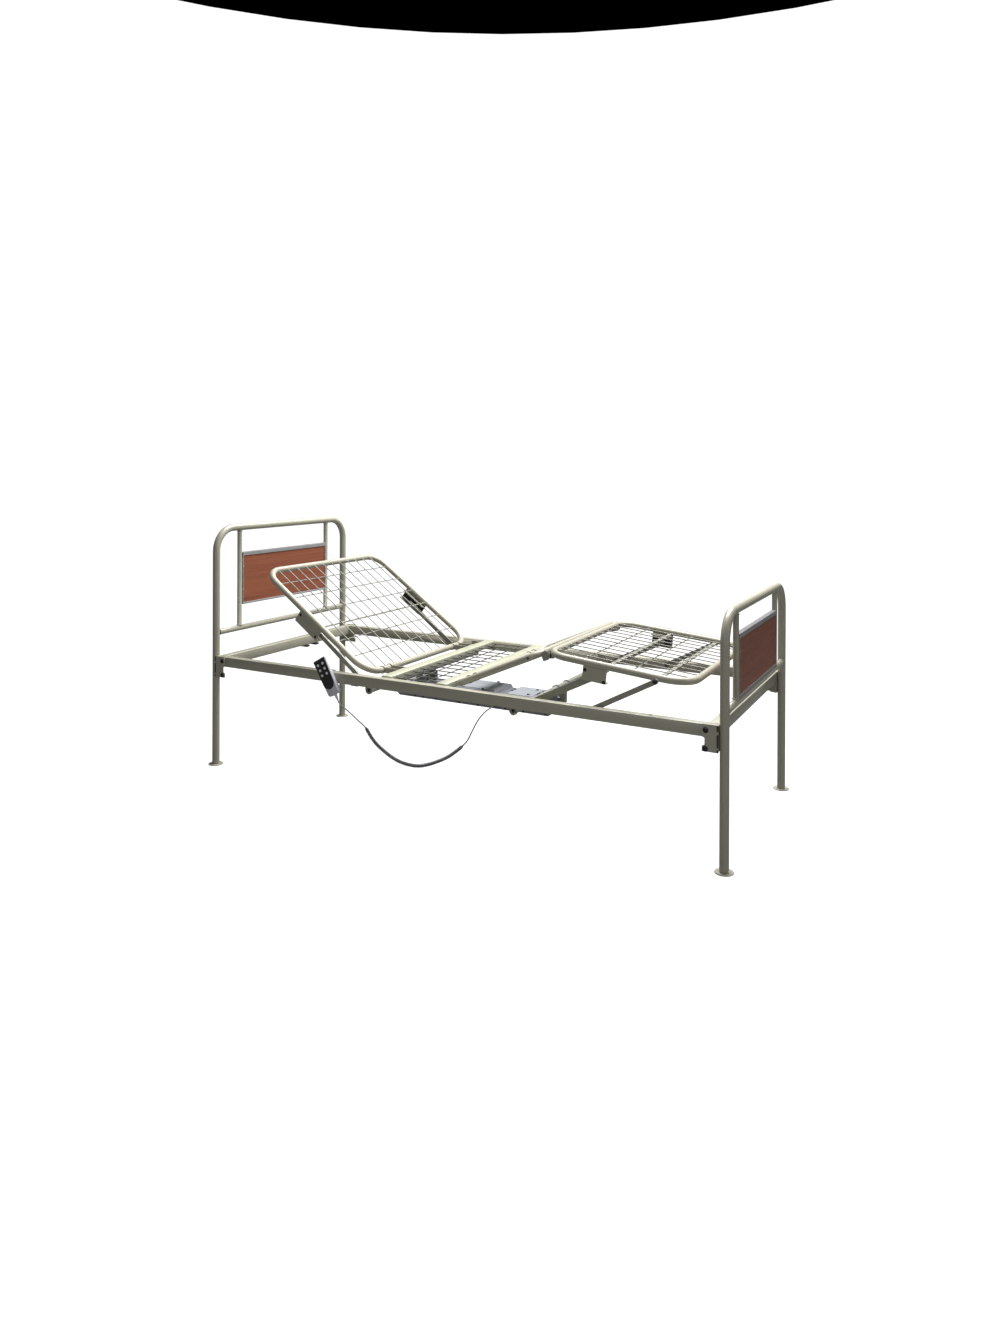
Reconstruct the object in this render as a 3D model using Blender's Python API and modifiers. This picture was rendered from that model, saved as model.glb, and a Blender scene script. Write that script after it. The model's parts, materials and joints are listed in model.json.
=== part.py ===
"""Adjustable hospital bed: tube end frames, rail frame, four-part mesh platform and twin drive.

Metres, +Z up, origin on the floor under the middle of the bed, +X towards the foot end.
"right" is the patient's right side (-Y) and "left" the other (+Y).
"""
import math

import bmesh
import bpy
from mathutils import Matrix, Vector

# ---- driving dimensions -------------------------------------------------------------
GAP = 0.0003            # clearance kept between neighbouring solids

POST_X = 1.0705         # end frames: centre of the posts
POST_Y = 0.4233
POST_R = 0.015
HOOP_BEND = 0.095
HEAD_TOP = 0.985        # centre of the top tube
FOOT_TOP = 0.798
HEAD_CROSSBAR = 0.550
FOOT_CROSSBAR = 0.496
CROSSBAR_R = 0.012
UPRIGHT_Y = 0.289
UPRIGHT_R = 0.010
HEAD_PANEL_Z = (0.6500, 0.8755)
FOOT_PANEL_Z = (0.5086, 0.7160)
TRIM_DEPTH = 0.020
PANEL_DEPTH = 0.014
FOOT_DISC_R = 0.030
FOOT_DISC_H = 0.0035
FOOT_PLUG_TOP = 0.006

RAIL_TOP = 0.4557       # rectangular base frame
RAIL_H = 0.040
RAIL_W = 0.030
RAIL_END = 1.048
BEAM_X = (1.0185, 1.0545)

BAR_W = 0.045           # flat cross bars that carry the fixed seat
BAR_Z = (0.437, 0.461)
BAR_X = (-0.215, 0.028)

LOOP_R = 0.0125         # platform tubes
BACK_HINGE = (-0.3193, 0.4500)
BACK_ANGLE = math.radians(35.0)
BACK_LENGTH = 0.634
BACK_HALF = 0.380
BACK_BENDS = (0.090, 0.075)
THIGH_HINGE = (0.0700, 0.4545)
THIGH_ANGLE = math.radians(23.4)
THIGH_LENGTH = 0.357
LEG_HALF = 0.360
THIGH_BEND = 0.040
KNEE_AHEAD = 0.014      # knee pin, past the end tube and below the section's plane
KNEE_BELOW = 0.020
CALF_SLOPE = math.radians(5.5)
CALF_LENGTH = 0.5096
CALF_BENDS = (0.070, 0.090)
WIRE = 0.004

EYE_R = 0.0160          # hinge eyes and shaft bearings
EYE_HOLE = 0.0133
EYE_CLEAR = 0.0200      # where a mesh starts, past the hinge eyes
SHAFT_R = 0.0125
BACK_SHAFT = (-0.295, 0.398)
LEG_SHAFT = (0.325, 0.400)
ARM_T = 0.008
ROLLER_R = 0.014
ROLLER_W = 0.020
CHANNEL_N = -0.0405     # middle of the roller channels, below the section's plane
CHANNEL_HALF = 0.0185
SHEET = 0.003
BACK_ROLLER = (0.335, -0.0430)
LEG_ROLLER = (0.200, -0.0405)
BACK_LEVER = 0.075
LEG_LEVER = 0.070
LEG_LEVER_LEAN = math.radians(6.1)

STAY_PIVOT = (0.6190, 0.4415)
STAY_LENGTH = 0.2441
STAY_ANGLE = math.radians(28.0)
STAY_Y = 0.385
STAY_T = 0.004

DRIVE_HALF_Y = 0.075
SLOT_HALF_Y = 0.018

HANDSET_CENTRE = (-0.458, -0.4505, 0.4405)
HANDSET_TILT = math.radians(-30.0)
HANDSET_W = 0.063
HANDSET_H = 0.150
HANDSET_T = 0.022       # at the cord end; the top is HANDSET_THIN
HANDSET_THIN = 0.008
BUTTON_R = 0.0052

CORD_R = 0.0025
COIL_R = 0.0075
CORD_STEP = 0.012
COIL_STEP = 0.032
CORD_PARTS = 8          # points of the smooth curve between two points of the route
CORD_ROUTE = ((-0.4095, -0.4505, 0.3565), (-0.4038, -0.4502, 0.3466), (-0.3935, -0.4495, 0.3370),
              (-0.3720, -0.4460, 0.3230), (-0.3490, -0.4420, 0.3065), (-0.3240, -0.4375, 0.2870),
              (-0.2930, -0.4310, 0.2620), (-0.2720, -0.4250, 0.2290), (-0.2460, -0.4150, 0.1960),
              (-0.1980, -0.3960, 0.1560), (-0.1570, -0.3780, 0.1340), (-0.1130, -0.3560, 0.1240),
              (-0.0760, -0.3380, 0.1290), (-0.0400, -0.3180, 0.1420), (-0.0100, -0.3010, 0.1570),
              (0.0160, -0.2830, 0.1770), (0.0380, -0.2650, 0.1990), (0.0500, -0.2500, 0.2180),
              (0.0590, -0.2330, 0.2480), (0.0680, -0.2040, 0.2830), (0.0790, -0.1700, 0.3080),
              (0.0900, -0.1380, 0.3190), (0.0950, -0.1058, 0.3210))
COIL_SPAN = (6, 16)     # points of the route where the curly stretch starts and ends
GLAND = (0.0950, 0.3210)
GLAND_LENGTH = 0.030

# colour, roughness, metallic of each finish
FINISHES = {
    "cream_paint": ((0.70, 0.68, 0.58), 0.45, 0.2),
    "bar_paint": ((0.78, 0.78, 0.62), 0.45, 0.1),
    "wire_paint": ((0.66, 0.66, 0.56), 0.45, 0.2),
    "steel": ((0.40, 0.40, 0.38), 0.40, 0.9),
    "wood_laminate": ((0.28, 0.10, 0.05), 0.40, 0.0),
    "trim": ((0.38, 0.36, 0.35), 0.45, 0.3),
    "drive_plastic": ((0.42, 0.45, 0.50), 0.50, 0.0),
    "black_plastic": ((0.02, 0.02, 0.02), 0.50, 0.0),
    "handset_plastic": ((0.55, 0.55, 0.62), 0.45, 0.0),
    "button_plastic": ((0.85, 0.85, 0.86), 0.40, 0.0),
    "cord_plastic": ((0.25, 0.25, 0.26), 0.50, 0.0),
}

SIDES = (("right", -1), ("left", 1))


# ---- scene and helpers --------------------------------------------------------------
def clear_scene():
    for thing in list(bpy.data.objects):
        bpy.data.objects.remove(thing, do_unlink=True)


def make_collection(name):
    group = bpy.data.collections.new(name)
    bpy.context.scene.collection.children.link(group)
    return group


def finish_material(node, finish):
    colour, roughness, metallic = FINISHES[finish]
    material = bpy.data.materials.new(f"{node}_{finish}")
    material.use_nodes = True
    shader = material.node_tree.nodes["Principled BSDF"]
    shader.inputs["Base Color"].default_value = (*colour, 1.0)
    shader.inputs["Roughness"].default_value = roughness
    shader.inputs["Metallic"].default_value = metallic
    return material


def place(thing, name, finish, parent=None, group=None):
    """Name an object, give it its finish, and put it in the bed's collection under its parent."""
    thing.name = name
    for old in list(thing.users_collection):
        old.objects.unlink(thing)
    (group or PARTS).objects.link(thing)
    if finish:
        thing.data.materials.clear()
        thing.data.materials.append(finish_material(name, finish))
    if parent:
        thing.parent = parent
    return thing


def axis_empty(name, x, z, angle=0.0, parent=None):
    """An empty on a joint's axis; the axis runs along Y."""
    empty = bpy.data.objects.new(name, None)
    PARTS.objects.link(empty)
    if parent:
        empty.parent = parent
    empty.location = (x, 0.0, z)
    empty.rotation_euler = (0.0, angle, 0.0)
    return empty


def mesh_object(bm, smooth=False):
    mesh = bpy.data.meshes.new("solid")
    bm.to_mesh(mesh)
    bm.free()
    if smooth:
        mesh.shade_smooth()
        mesh.set_sharp_from_angle(angle=math.radians(35.0))
    thing = bpy.data.objects.new("solid", mesh)
    bpy.context.scene.collection.objects.link(thing)
    return thing


def box(low, high, turn=None):
    """A box between two corners, turned afterwards by a matrix."""
    bm = bmesh.new()
    bmesh.ops.create_cube(bm, size=1.0)
    low, high = Vector(low), Vector(high)
    size = high - low
    matrix = Matrix.Translation((low + high) / 2) @ Matrix.Diagonal((*size, 1.0))
    bmesh.ops.transform(bm, matrix=(turn or Matrix()) @ matrix, verts=bm.verts)
    return mesh_object(bm)


def rod(start, end, radius, sides=24):
    """A cylinder between two points."""
    start, end = Vector(start), Vector(end)
    along = end - start
    turn = along.to_track_quat("Z", "Y").to_matrix().to_4x4()
    bm = bmesh.new()
    bmesh.ops.create_cone(bm, cap_ends=True, segments=sides, radius1=radius, radius2=radius,
                          depth=along.length, matrix=Matrix.Translation((start + end) / 2) @ turn)
    return mesh_object(bm, smooth=True)


def soften(thing, width, segments=2):
    bevel = thing.modifiers.new("edges", "BEVEL")
    bevel.width = width
    bevel.segments = segments
    bevel.limit_method = "ANGLE"
    bevel.angle_limit = math.radians(40.0)
    return thing


def tube(points, radius, cyclic=False, resolution=4):
    """A closed tube along a polyline; 4 + 2 x resolution sides."""
    curve = bpy.data.curves.new("tube", "CURVE")
    curve.dimensions = "3D"
    curve.bevel_depth = radius
    curve.bevel_resolution = resolution
    curve.use_fill_caps = True
    curve.render_resolution_u = 0
    spline = curve.splines.new("POLY")
    spline.points.add(len(points) - 1)
    for slot, point in zip(spline.points, points):
        slot.co = (*point, 1.0)
    spline.use_cyclic_u = cyclic
    thing = bpy.data.objects.new("tube", curve)
    bpy.context.scene.collection.objects.link(thing)
    return thing


def bent_path(corners, bends, cyclic=False, steps=7):
    """Points of a path whose corners are rounded to the given radii (0 leaves an end as it is)."""
    points = []
    count = len(corners)
    for index, corner in enumerate(corners):
        corner = Vector(corner)
        radius = bends[index]
        if radius == 0.0:
            points.append(corner)
            continue
        before = (Vector(corners[(index - 1) % count]) - corner).normalized()
        after = (Vector(corners[(index + 1) % count]) - corner).normalized()
        half = before.angle(after) / 2
        centre = corner + (before + after).normalized() * (radius / math.sin(half))
        start = corner + before * (radius / math.tan(half)) - centre
        end = corner + after * (radius / math.tan(half)) - centre
        sweep = start.angle(end)
        for step in range(steps + 1):
            part = step / steps
            weight_a = math.sin((1 - part) * sweep) / math.sin(sweep)
            weight_b = math.sin(part * sweep) / math.sin(sweep)
            points.append(centre + start * weight_a + end * weight_b)
    return points


def smooth_route(route):
    """The smooth curve through a route's own points, with CORD_PARTS steps between each two."""
    route = [Vector(point) for point in route]
    padded = [2 * route[0] - route[1], *route, 2 * route[-1] - route[-2]]
    points = []
    for index in range(len(route) - 1):
        a, b, c, d = padded[index:index + 4]
        for step in range(CORD_PARTS):
            part = step / CORD_PARTS
            curve = 2 * b + (c - a) * part + (2 * a - 5 * b + 4 * c - d) * part ** 2
            points.append((curve + (3 * b - a - 3 * c + d) * part ** 3) / 2)
    points.append(route[-1])
    return points


def even_points(points, step):
    """Points about a step apart along a fine polyline, with its ends drawn in by the gap."""
    length = sum((p - q).length for p, q in zip(points, points[1:]))
    pieces = round(length / step)
    marks = [GAP, 0.003, *(length * i / pieces for i in range(1, pieces)), length - 0.003, length - GAP]
    chosen = []
    travelled = 0.0
    for start, end in zip(points, points[1:]):
        stretch = (end - start).length
        while marks and travelled + stretch >= marks[0]:
            chosen.append(start.lerp(end, (marks.pop(0) - travelled) / stretch))
        travelled += stretch
    return chosen


def plate(outlines, thickness, matrix):
    """A flat plate from 2D outlines (the first is the edge, the others are holes)."""
    curve = bpy.data.curves.new("plate", "CURVE")
    curve.dimensions = "2D"
    curve.fill_mode = "BOTH"
    curve.extrude = thickness / 2
    for outline in outlines:
        spline = curve.splines.new("POLY")
        spline.points.add(len(outline) - 1)
        for slot, (x, y) in zip(spline.points, outline):
            slot.co = (x, y, 0.0, 1.0)
        spline.use_cyclic_u = True
    thing = bpy.data.objects.new("plate", curve)
    bpy.context.scene.collection.objects.link(thing)
    thing.matrix_world = matrix
    return thing


def upright_plane(y):
    """Plate plane whose x is +X and y is +Z, at a given Y."""
    return Matrix.Translation((0.0, y, 0.0)) @ Matrix.Rotation(math.radians(90.0), 4, "X")


def cross_plane(x):
    """Plate plane whose x is +Y and y is +Z, at a given X."""
    return Matrix(((0, 0, 1, x), (1, 0, 0, 0), (0, 1, 0, 0), (0, 0, 0, 1)))


def circle(centre, radius, count=24, start=0.0, sweep=math.tau):
    full = abs(sweep - math.tau) < 1e-9
    steps = count if full else count - 1
    return [(centre[0] + radius * math.cos(start + sweep * i / steps),
             centre[1] + radius * math.sin(start + sweep * i / steps)) for i in range(count)]


def solid(thing):
    """The evaluated shape as a plain welded mesh in world space."""
    bpy.context.view_layer.update()
    graph = bpy.context.evaluated_depsgraph_get()
    mesh = bpy.data.meshes.new_from_object(thing.evaluated_get(graph))
    mesh.transform(thing.matrix_world)
    bm = bmesh.new()
    bm.from_mesh(mesh)
    bmesh.ops.remove_doubles(bm, verts=bm.verts, dist=0.00001)
    bmesh.ops.recalc_face_normals(bm, faces=bm.faces)
    bm.to_mesh(mesh)
    bm.free()
    result = bpy.data.objects.new("solid", mesh)
    bpy.context.scene.collection.objects.link(result)
    bpy.data.objects.remove(thing, do_unlink=True)
    return result


def combine(base, others, operation="UNION"):
    """Boolean of a solid with others, applied; the others are removed."""
    base = solid(base)
    for other in others:
        other = solid(other)
        other.hide_render = True
        other.display_type = "WIRE"
        boolean = base.modifiers.new("join", "BOOLEAN")
        boolean.operation = operation
        boolean.solver = "EXACT"
        boolean.object = other
        joined = solid(base)
        bpy.data.objects.remove(other, do_unlink=True)
        base = joined
    return base


def cut(base, cutters):
    return combine(base, cutters, "DIFFERENCE")


def turned(profile, matrix, steps=32):
    """A turned solid from a profile of (radius, height) listed top to bottom on its outer side."""
    bm = bmesh.new()
    verts = [bm.verts.new((radius, 0.0, height)) for radius, height in profile]
    for a, b in zip(verts, verts[1:]):
        bm.edges.new((a, b))
    thing = mesh_object(bm)
    screw = thing.modifiers.new("turn", "SCREW")
    screw.axis = "Z"
    screw.steps = steps
    screw.render_steps = steps
    screw.use_merge_vertices = True
    screw.merge_threshold = 0.00005
    screw.use_smooth_shade = True
    thing.matrix_world = matrix
    return thing


# ---- end frames -----------------------------------------------------------------------
def end_frame(end, sign, top, crossbar, panel_z):
    """Hoop, inner frame, framed panel and feet of the head or the foot end."""
    x = sign * POST_X
    bottom = FOOT_PLUG_TOP + GAP
    corners = ((x, -POST_Y, bottom), (x, -POST_Y, top), (x, POST_Y, top), (x, POST_Y, bottom))
    hoop = tube(bent_path(corners, (0.0, HOOP_BEND, HOOP_BEND, 0.0)), POST_R)
    place(hoop, f"{end}_hoop", "cream_paint")

    reach = POST_Y - POST_R - GAP
    bar = rod((x, -reach, crossbar), (x, reach, crossbar), CROSSBAR_R, 16)
    under_top = top - POST_R - GAP
    uprights = [rod((x, side * UPRIGHT_Y, crossbar), (x, side * UPRIGHT_Y, under_top), UPRIGHT_R, 16)
                for _, side in SIDES]
    place(combine(bar, uprights), f"{end}_inner_frame", "cream_paint")

    low, high = panel_z
    edge = UPRIGHT_Y - UPRIGHT_R - GAP
    window = ((-edge + 0.005, low + 0.008), (edge - 0.005, low + 0.008),
              (edge - 0.005, high - 0.016), (-edge + 0.005, high - 0.016))
    outline = ((-edge, low), (edge, low), (edge, high), (-edge, high))
    trim = plate((outline, window), TRIM_DEPTH, cross_plane(x))
    place(solid(trim), f"{end}_panel_trim", "trim")
    (left, base), _, (right, roof), _ = window
    board = box((x - PANEL_DEPTH / 2, left + GAP, base + GAP),
                (x + PANEL_DEPTH / 2, right - GAP, roof - GAP))
    place(board, f"{end}_panel", "wood_laminate")

    profile = ((0.0, FOOT_PLUG_TOP), (0.012, FOOT_PLUG_TOP), (0.013, FOOT_DISC_H),
               (FOOT_DISC_R - 0.001, FOOT_DISC_H), (FOOT_DISC_R, FOOT_DISC_H - 0.001),
               (FOOT_DISC_R, 0.0), (0.0, 0.0))
    for name, side in SIDES:
        foot = turned(profile, Matrix.Translation((x, side * POST_Y, 0.0)), 24)
        place(solid(foot), f"{end}_foot_{name}", "cream_paint")


# ---- base frame -------------------------------------------------------------------------
def bearing_plate(centre, side):
    """Plate on a rail's inner face with the eye that a lift shaft turns in."""
    x, z = centre
    arc = circle(centre, EYE_R, 16, math.pi, math.pi)
    outline = [*arc, (x + EYE_R, RAIL_TOP - 0.006), (x - EYE_R, RAIL_TOP - 0.006)]
    y = side * (POST_Y - RAIL_W / 2 - 0.0021)
    return plate((outline, circle(centre, EYE_HOLE)), 0.005, upright_plane(y))


def side_rail(name, side):
    inner = POST_Y - RAIL_W / 2
    outer = POST_Y + RAIL_W / 2
    low_y, high_y = sorted((side * inner, side * outer))
    rail = soften(box((-RAIL_END, low_y, RAIL_TOP - RAIL_H), (RAIL_END, high_y, RAIL_TOP)), 0.002)
    x, z = STAY_PIVOT
    lug_line = [*circle(STAY_PIVOT, 0.012, 12, 0.0, math.pi), (x - 0.012, z - 0.020), (x + 0.012, z - 0.020)]
    lug = plate((lug_line,), 0.005, upright_plane(side * (inner - 0.0021)))
    pin = rod((x, side * (inner - 0.002), z), (x, side * (STAY_Y - STAY_T), z), 0.004, 16)
    extras = [bearing_plate(BACK_SHAFT, side), bearing_plate(LEG_SHAFT, side), lug, pin]
    place(combine(rail, extras), f"side_rail_{name}", "cream_paint")


def cross_beam(end, sign):
    near, far = sorted((sign * BEAM_X[0], sign * BEAM_X[1]))
    reach = POST_Y - RAIL_W / 2 - GAP
    beam = box((near, -reach, RAIL_TOP - RAIL_H), (far, reach, RAIL_TOP))
    place(soften(beam, 0.002), f"{end}_beam", "cream_paint")


def corner_bracket(end, sign, name, side):
    """Notched outer plate with an end plate that stands between the rail's end and the post."""
    outer_face = POST_Y + RAIL_W / 2 + GAP
    low, high = 0.372, 0.458
    near, step, far = 1.056, 1.0125, 1.004
    outline = ((near, high), (far, high), (far, 0.418), (step, 0.414),
               (step, 0.393), (far, 0.389), (far, low), (near, low))
    outline = [(sign * x, z) for x, z in outline]
    outer = plate((outline,), 0.006, upright_plane(side * (outer_face + 0.003)))
    low_y, high_y = sorted((side * (outer_face + 0.001), side * (POST_Y - RAIL_W / 2 + GAP)))
    low_x, high_x = sorted((sign * (RAIL_END + GAP), sign * (POST_X - POST_R - GAP)))
    web = box((low_x, low_y, low + 0.002), (high_x, high_y, high - 0.002))
    place(combine(outer, [web]), f"{end}_bracket_{name}", "cream_paint")


# ---- fixed seat -------------------------------------------------------------------------
def lattice_holes(x_range, y_range, columns, rows, corner=0.0):
    """Rectangular openings between crossing wires; the outermost corners are cut at 45 degrees."""
    x_step = (x_range[1] - x_range[0]) / columns
    y_step = (y_range[1] - y_range[0]) / rows
    holes = []
    for i in range(columns):
        for j in range(rows):
            left = x_range[0] + i * x_step + WIRE / 2
            right = x_range[0] + (i + 1) * x_step - WIRE / 2
            low = y_range[0] + j * y_step + WIRE / 2
            high = y_range[0] + (j + 1) * y_step - WIRE / 2
            points = [(left, low), (right, low), (right, high), (left, high)]
            if corner and i in (0, columns - 1) and j in (0, rows - 1):
                points = trim_corner(points, i == 0, j == 0, corner)
            holes.append(points)
    return holes


def trim_corner(points, at_left, at_low, size):
    (left, low), _, (right, high), _ = points
    x, turn_x = (left, 1) if at_left else (right, -1)
    y, turn_y = (low, 1) if at_low else (high, -1)
    kept = [point for point in points if point != (x, y)]
    middle = Vector((sum(p[0] for p in points) / 4, sum(p[1] for p in points) / 4))
    kept += [(x + turn_x * size, y), (x, y + turn_y * size)]
    kept.sort(key=lambda p: math.atan2(p[1] - middle.y, p[0] - middle.x))
    return kept


def rounded_sheet(x_range, y_range, radii):
    """Outline of a sheet whose corner radii are given for the low-x and the high-x end."""
    (x0, x1), (y0, y1) = x_range, y_range
    corners = ((x0, y0, 0.0), (x1, y0, 0.0), (x1, y1, 0.0), (x0, y1, 0.0))
    bends = (radii[0], radii[1], radii[1], radii[0])
    return [(p.x, p.y) for p in bent_path(corners, bends, steps=6)]


def wire_mesh(name, x_range, half_y, radii, columns, rows, height, parent=None):
    """Welded wire mesh as one flat lattice in the plane of its section."""
    border = 0.004
    outline = rounded_sheet(x_range, (-half_y, half_y), radii)
    inner_x = (x_range[0] + border, x_range[1] - border)
    inner_y = (-half_y + border, half_y - border)
    corner = 0.62 * max(radii)
    holes = lattice_holes(inner_x, inner_y, columns, rows, corner)
    sheet = solid(plate((outline, *holes), WIRE, Matrix.Translation((0.0, 0.0, height))))
    return place(sheet, name, "wire_paint", parent)


def hinge_bracket(name, y, hinge, bar_face, side_of_bar, z_range):
    """Two ears on a base plate; their eyes hold a section's end tube, which turns in them."""
    x, z = hinge
    ears = []
    for offset in (-0.024, 0.024):
        ring = circle(hinge, EYE_R, 20)
        ears.append(plate((ring, circle(hinge, EYE_HOLE + 0.0002, 16)), 0.005, upright_plane(y + offset)))
        arm_x = sorted((bar_face, x - side_of_bar * EYE_HOLE * 1.12))
        low = (arm_x[0], y + offset - 0.0025, z_range[0])
        ears.append(box(low, (arm_x[1], y + offset + 0.0025, z_range[1])))
    base_x = sorted((bar_face, bar_face + side_of_bar * 0.003))
    base = box((base_x[0], y - 0.0265, z_range[0]), (base_x[1], y + 0.0265, z_range[1]))
    place(combine(base, ears), name, "cream_paint")


def fixed_seat():
    reach = POST_Y - RAIL_W / 2 - GAP
    for end, x in zip(("head", "foot"), BAR_X):
        bar = box((x - BAR_W / 2, -reach, BAR_Z[0]), (x + BAR_W / 2, reach, BAR_Z[1]))
        place(soften(bar, 0.003), f"seat_bar_{end}", "bar_paint")
    x_range = (BAR_X[0] + BAR_W / 2 + GAP, BAR_X[1] - BAR_W / 2 - GAP)
    wire_mesh("seat_mesh", x_range, reach - 0.002, (0.0, 0.0), 3, 10, 0.450)
    for name, side in SIDES:
        face = BAR_X[0] - BAR_W / 2 - GAP
        hinge_bracket(f"back_hinge_{name}", side * 0.262, BACK_HINGE, face, -1, (0.4385, 0.4600))
        face = BAR_X[1] + BAR_W / 2 + GAP
        hinge_bracket(f"thigh_hinge_{name}", side * 0.250, THIGH_HINGE, face, 1, (0.4385, 0.4600))


# ---- moving sections ----------------------------------------------------------------------
def loop_tube(name, x0, x1, half_y, bends, parent, height=0.0):
    """A closed tube loop in its section's plane; bends are for the x0 and the x1 end."""
    corners = ((x0, -half_y, height), (x1, -half_y, height), (x1, half_y, height), (x0, half_y, height))
    radii = (bends[0], bends[1], bends[1], bends[0])
    return place(tube(bent_path(corners, radii, steps=6), LOOP_R, cyclic=True), name, "cream_paint", parent)


def guide_channel(name, side, web_y, centre_x, length, plane, parent):
    """C channel under a section, open towards the middle of the bed, in which a lift roller runs."""
    top = plane - LOOP_R - GAP
    middle = plane + CHANNEL_N
    depth = 0.0225
    face = web_y - SHEET
    outline = [(web_y, top), (web_y, middle - CHANNEL_HALF - SHEET),
               (face - depth, middle - CHANNEL_HALF - SHEET),
               (face - depth, middle - CHANNEL_HALF), (face, middle - CHANNEL_HALF),
               (face, middle + CHANNEL_HALF), (face - depth, middle + CHANNEL_HALF),
               (face - depth, middle + CHANNEL_HALF + SHEET),
               (face, middle + CHANNEL_HALF + SHEET), (face, top)]
    outline = [(side * y, z) for y, z in outline]
    channel = solid(plate((outline,), length, cross_plane(centre_x)))
    return place(channel, name, "cream_paint", parent)


def back_section():
    axis = axis_empty("back_hinge_axis", *BACK_HINGE, BACK_ANGLE)
    loop_tube("back_frame", -BACK_LENGTH, 0.0, BACK_HALF, (BACK_BENDS[1], BACK_BENDS[0]), axis)
    inset = LOOP_R + 2 * GAP
    radii = (BACK_BENDS[1] - inset, BACK_BENDS[0] - inset)
    wire_mesh("back_mesh", (-BACK_LENGTH + inset, -EYE_CLEAR), BACK_HALF - inset, radii, 5, 9, 0.0, axis)
    for name, side in SIDES:
        guide_channel(f"back_guide_{name}", side, BACK_HALF + 0.0015, -0.335, 0.130, 0.0, axis)


def knee_plate(y, direction):
    """Hinge plate beside the knee pin: a ring round the pin and a web up to the end tube."""
    ring = plate((circle((0.0, 0.0), 0.0095),), 0.005, upright_plane(y))
    near, far = sorted((direction * 0.0008, direction * (KNEE_AHEAD + 0.004)))
    web = box((near, y - 0.0025, -0.006), (far, y + 0.0025, KNEE_BELOW))
    return [ring, web]


def leg_sections():
    thigh_axis = axis_empty("thigh_hinge_axis", *THIGH_HINGE, -THIGH_ANGLE)
    knee = (THIGH_LENGTH + KNEE_AHEAD, -KNEE_BELOW)
    bends = (THIGH_BEND, THIGH_BEND)
    frame = loop_tube("thigh_frame", 0.0, THIGH_LENGTH, LEG_HALF, bends, None)
    plates = []
    bores = []
    shift = Matrix.Translation((knee[0], 0.0, knee[1]))
    for _, side in SIDES:
        for piece in knee_plate(side * 0.3025, -1):
            piece.matrix_world = shift @ piece.matrix_world
            plates.append(piece)
        bores.append(rod((knee[0], side * 0.296, knee[1]), (knee[0], side * 0.309, knee[1]), 0.0045, 16))
    frame = cut(combine(frame, plates), bores)
    place(frame, "thigh_frame", "cream_paint", thigh_axis)
    inset = LOOP_R + 2 * GAP
    radius = THIGH_BEND - inset
    wire_mesh("thigh_mesh", (EYE_CLEAR, THIGH_LENGTH - inset), LEG_HALF - inset, (radius, radius), 3, 8, 0.0,
              thigh_axis)

    calf_axis = axis_empty("knee_axis", 0.0, 0.0, THIGH_ANGLE + CALF_SLOPE, thigh_axis)
    calf_axis.location = (knee[0], 0.0, knee[1])
    start = KNEE_AHEAD
    end = start + CALF_LENGTH
    frame = loop_tube("calf_frame", start, end, LEG_HALF, CALF_BENDS, None, KNEE_BELOW)
    joints = []
    for _, side in SIDES:
        joints += knee_plate(side * 0.3080, 1)
        joints.append(rod((0.0, side * 0.2985, 0.0), (0.0, side * 0.3090, 0.0), 0.0040, 16))
    place(combine(frame, joints), "calf_frame", "cream_paint", calf_axis)
    radii = (CALF_BENDS[0] - inset, CALF_BENDS[1] - inset)
    wire_mesh("calf_mesh", (start + inset, end - inset), LEG_HALF - inset, radii, 4, 8, KNEE_BELOW, calf_axis)
    for name, side in SIDES:
        guide_channel(f"calf_guide_{name}", side, LEG_HALF + 0.0015, 0.1935, 0.087, KNEE_BELOW, calf_axis)


# ---- lift shafts, rollers, stays ------------------------------------------------------------
def from_section(origin, angle, point, heading):
    """World X and Z of a point given along a section and above its plane."""
    along, above = point
    x = origin[0] + heading * (along * math.cos(angle) - above * math.sin(angle))
    z = origin[1] + along * math.sin(angle) + above * math.cos(angle)
    return x, z


def flat_bar(points, width, y, thickness):
    """Flat bar with round ends along a polyline in the XZ plane."""
    points = [Vector(point) for point in points]
    courses = [(end - start).normalized() for start, end in zip(points, points[1:])]
    half = width / 2
    first = math.atan2(courses[0].y, courses[0].x)
    last = math.atan2(courses[-1].y, courses[-1].x)
    right, left = [], []
    for point, before, after in zip(points[1:-1], courses, courses[1:]):
        middle = (before + after).normalized()
        reach = half / middle.dot(before)
        right.append(point + Vector((middle.y, -middle.x)) * reach)
        left.append(point - Vector((middle.y, -middle.x)) * reach)
    outline = [*right, *circle(points[-1], half, 10, last - math.pi / 2, math.pi), *reversed(left),
               *circle(points[0], half, 10, first + math.pi / 2, math.pi)]
    return plate((outline,), thickness, upright_plane(y))


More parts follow.
